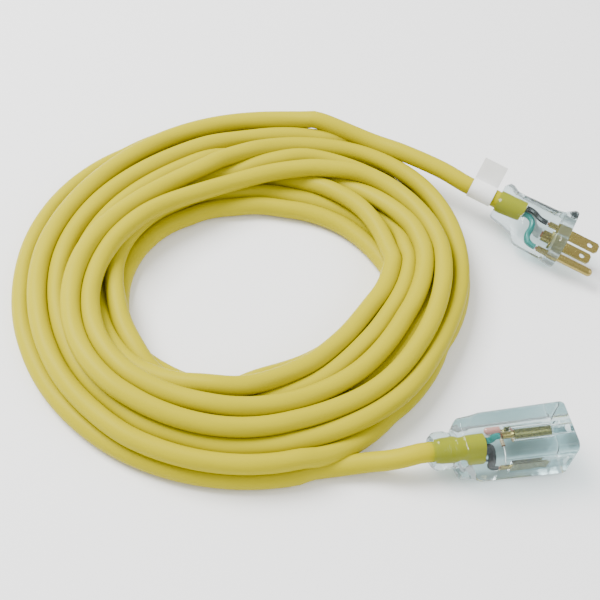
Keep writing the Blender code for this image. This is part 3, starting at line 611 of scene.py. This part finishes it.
PLUG_STATIONS = [
    (0.0, 8.0, 9.6, 8.2, 7.0), (1.0, 9.6, 10.2, 9.0, 7.4), (2.6, 11.2, 10.6, 9.5, 7.6),
    (4.8, 11.0, 11.0, 9.5, 7.6), (8.5, 8.6, 11.9, 9.4, 7.6), (13.0, 8.2, 13.4, 9.8, 7.6),
    (15.4, 8.2, 15.0, 10.0, 7.6), (17.4, 8.2, 18.2, 10.4, 7.8), (19.4, 8.2, 19.2, 10.6, 8.0),
    (32.0, 8.4, 19.5, 10.9, 8.0),
    (36.0, 9.2, 19.8, 11.4, 8.4), (39.0, 11.2, 20.0, 12.4, 9.2), (41.0, 12.6, 20.1, 13.3, 9.8),
    (42.8, 12.9, 20.1, 13.5, 10.0), (43.5, 12.3, 19.6, 12.9, 9.6)]


def way_in(outline, middle, mouth, room):
    """Rings of a stepped way into the connector, from its face: an outline times the width at each ring."""
    face = CONNECTOR_LENGTH / 2
    return np.array([np.column_stack([np.full(len(outline), x), outline * size + middle]) for x, size in
                     ((face, mouth), (MOUTH_DEPTH, mouth), (MOUTH_DEPTH, room), (ROOM_DEPTH, room))])


def connector_mesh(around=32):
    """The connector's one clear solid: the lofted outside, a flat face, and three blind ways into it."""
    rings = loft_rings(CONNECTOR_STATIONS)
    points, faces = capped(rings, end_cap=False)
    corners = np.array([(1, 1), (-1, 1), (-1, -1), (1, -1)], dtype=float)
    angle = 2 * np.pi * np.arange(around) / around
    circle = np.column_stack([np.cos(angle), np.sin(angle)])
    ways = [way_in(corners, (-BLADE_PITCH / 2, BLADE_LINE), NARROW_SLOT, SLOT_ROOM),
            way_in(corners, (BLADE_PITCH / 2, BLADE_LINE), WIDE_SLOT, SLOT_ROOM),
            way_in(circle, (0.0, BLADE_LINE + PIN_OFFSET), PIN_HOLE, PIN_ROOM)]
    loops = [rings[-1]] + [way[0] for way in ways]
    points = [tuple(point) for point in points]
    rim = np.concatenate(loops)
    start = len(points)
    points += [tuple(point) for point in rim]
    faces += [[start + k for k in triangle]
              for triangle in tessellate_polygon([[Vector(point) for point in loop] for loop in loops])]
    for way in ways:
        start = len(points)
        count = way.shape[1]
        points += [tuple(point) for point in way.reshape(-1, 3)]
        faces += (grid_faces(len(way), count) + start).tolist()
        faces.append([start + (len(way) - 1) * count + k for k in range(count)])
    return np.array(points) * MM, faces


def plug_mesh():
    """The plug's one clear solid, lofted from its rear ears to its flange."""
    stations = [(x, (away - towards) / 2, 0.0, (away + towards) / 2, half, corner)
                for x, away, towards, half, corner in PLUG_STATIONS]
    points, faces = capped(loft_rings(stations))
    return placed(points * MM, plug_matrix()), faces


# ---------------------------------------------------------------- operators

def sizes():
    """The sizes set in the panel."""
    return bpy.context.scene.cord_sizes


def colours():
    """The colours set in the panel."""
    return bpy.context.scene.cord_colours


class CORD_OT_stage(bpy.types.Operator):
    """Put up the floor, the soft lights and the camera"""

    bl_idname = "cord.stage"
    bl_label = "Stage"

    def execute(self, context):
        half = sizes().floor / 2
        mesh = bpy.data.meshes.new("floor")
        spots = ((-half, -half), (half, -half), (half, half), (-half, half))
        corners = [(x, y, -FLOOR_DROP) for x, y in spots]
        mesh.from_pydata(corners, [], [(0, 1, 2, 3)])
        mesh.materials.append(floor_finish(tuple(colours().floor)))
        floor = bpy.data.objects.new("floor", mesh)
        context.scene.collection.objects.link(floor)

        world = context.scene.world or bpy.data.worlds.new("soft_room")
        context.scene.world = world
        world.use_nodes = True
        world.node_tree.nodes["Background"].inputs["Color"].default_value = (1.0, 1.0, 1.0, 1.0)
        world.node_tree.nodes["Background"].inputs["Strength"].default_value = 1.0

        for name, spot, side, power in LIGHTS:
            light = bpy.data.lights.new(name, "AREA")
            light.size = side
            light.energy = power
            item = bpy.data.objects.new(name, light)
            item.location = spot
            item.rotation_euler = (Vector(LIT_SPOT) - Vector(spot)).to_track_quat("-Z", "Y").to_euler()
            context.scene.collection.objects.link(item)

        camera = bpy.data.cameras.new("camera")
        camera.lens = CAMERA_LENS
        camera.sensor_width = CAMERA_SENSOR
        item = bpy.data.objects.new("camera", camera)
        heading, tilt, roll = (math.radians(turn) for turn in CAMERA_TURN)
        right = Vector((math.cos(heading), math.sin(heading), 0.0))
        ahead = Vector((-math.sin(heading), math.cos(heading), 0.0))
        view = ahead * math.cos(tilt) - Vector((0, 0, math.sin(tilt)))
        up = ahead * math.sin(tilt) + Vector((0, 0, math.cos(tilt)))
        rolled_right = right * math.cos(roll) + up * math.sin(roll)
        rolled_up = up * math.cos(roll) - right * math.sin(roll)
        turned = Matrix((rolled_right, rolled_up, -view)).transposed().to_4x4()
        item.matrix_world = Matrix.Translation(Vector(EYE) * MM) @ turned
        context.scene.collection.objects.link(item)
        context.scene.camera = item
        return {"FINISHED"}


class CORD_OT_cord(bpy.types.Operator):
    """Wind the yellow cord from the connector round the coil to the plug"""

    bl_idname = "cord.cord"
    bl_label = "Cord"

    def execute(self, context):
        diameter = sizes().diameter
        finish = jacket_finish(tuple(colours().jacket), sizes().lay)
        route = cord_route(diameter)
        cord = tube("cord", route, diameter / 2, finish)
        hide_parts("cord_coil", "cord_plug_lead", "cord_connector_lead", "connector_jacket_end",
                    "plug_jacket_end")
        return {"FINISHED"}


class CORD_OT_mouldings(bpy.types.Operator):
    """Cast the clear connector and plug round their conductors"""

    bl_idname = "cord.mouldings"
    bl_label = "Clear mouldings"

    def execute(self, context):
        clear = clear_finish("clear_moulding", tuple(colours().clear), 0.04, 1.25)
        points, faces = connector_mesh()
        shell = solid("connector_shell", points, faces, clear, recalc=True)
        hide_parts("connector_body", "connector_insert")
        points, faces = plug_mesh()
        shell = solid("plug_shell", points, faces, clear, recalc=True)
        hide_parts("plug_body")
        return {"FINISHED"}


class CORD_OT_finishes(bpy.types.Operator):
    """Give every carried-over piece its finish"""

    bl_idname = "cord.finishes"
    bl_label = "Finishes"

    def execute(self, context):
        brass = metal_finish("brass", tuple(colours().brass), 0.16, (1.0, 1.0, 8.0))
        # A piece takes the first finish whose word is in its name
        finishes = {
            "lead": metal_finish("tinned_lead", (0.72, 0.71, 0.69), 0.22, (1.0, 6.0, 1.0)),
            "resistor": resistor_finish(),
            "lamp": lamp_finish(),
            "strands": strands_finish("copper_strands", (0.55, 0.24, 0.12)),
            "contact": brass,
            "blade": brass,
            "pin": brass,
            "bridge": clear_finish("milky_bridge", (0.90, 0.92, 0.92), 0.35, 1.2),
            "tag": tag_finish(),
            "black": wire_finish("black_insulation", (0.012, 0.012, 0.013)),
            "white": wire_finish("white_insulation", (0.55, 0.56, 0.55)),
            "green": wire_finish("green_insulation", (0.004, 0.22, 0.19)),
        }
        for name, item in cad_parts.items():
            word = next((word for word in finishes if word in name), None)
            if word:
                slots = item.data.materials
                if not slots:
                    slots.append(finishes[word])
                for index in range(len(slots)):
                    slots[index] = finishes[word]
        return {"FINISHED"}


class CORD_PT_panel(bpy.types.Panel):
    """Lists the cord's sizes, colours and steps"""

    bl_label = "Extension cord"
    bl_idname = "CORD_PT_panel"
    bl_space_type = "VIEW_3D"
    bl_region_type = "UI"
    bl_category = "Cord"

    def draw(self, context):
        """Draw the settings and one button for each step."""
        for group in (context.scene.cord_sizes, context.scene.cord_colours):
            for key in group.__annotations__:
                self.layout.prop(group, key)
        for step in STEPS:
            self.layout.operator(step.bl_idname)


STEPS = (CORD_OT_stage, CORD_OT_mouldings, CORD_OT_cord, CORD_OT_finishes)
CLASSES = (CordSizes, CordColours, *STEPS, CORD_PT_panel)


def register():
    """Add the classes and the scene's settings."""
    for kind in CLASSES:
        bpy.utils.register_class(kind)
    bpy.types.Scene.cord_sizes = bpy.props.PointerProperty(type=CordSizes)
    bpy.types.Scene.cord_colours = bpy.props.PointerProperty(type=CordColours)


def unregister():
    """Take them away again."""
    del bpy.types.Scene.cord_colours
    del bpy.types.Scene.cord_sizes
    for kind in reversed(CLASSES):
        bpy.utils.unregister_class(kind)


def main():
    """Build everything in order."""
    register()
    bpy.ops.cord.stage()
    bpy.ops.cord.mouldings()
    bpy.ops.cord.cord()
    bpy.ops.cord.finishes()


if __name__ == "__main__":
    main()
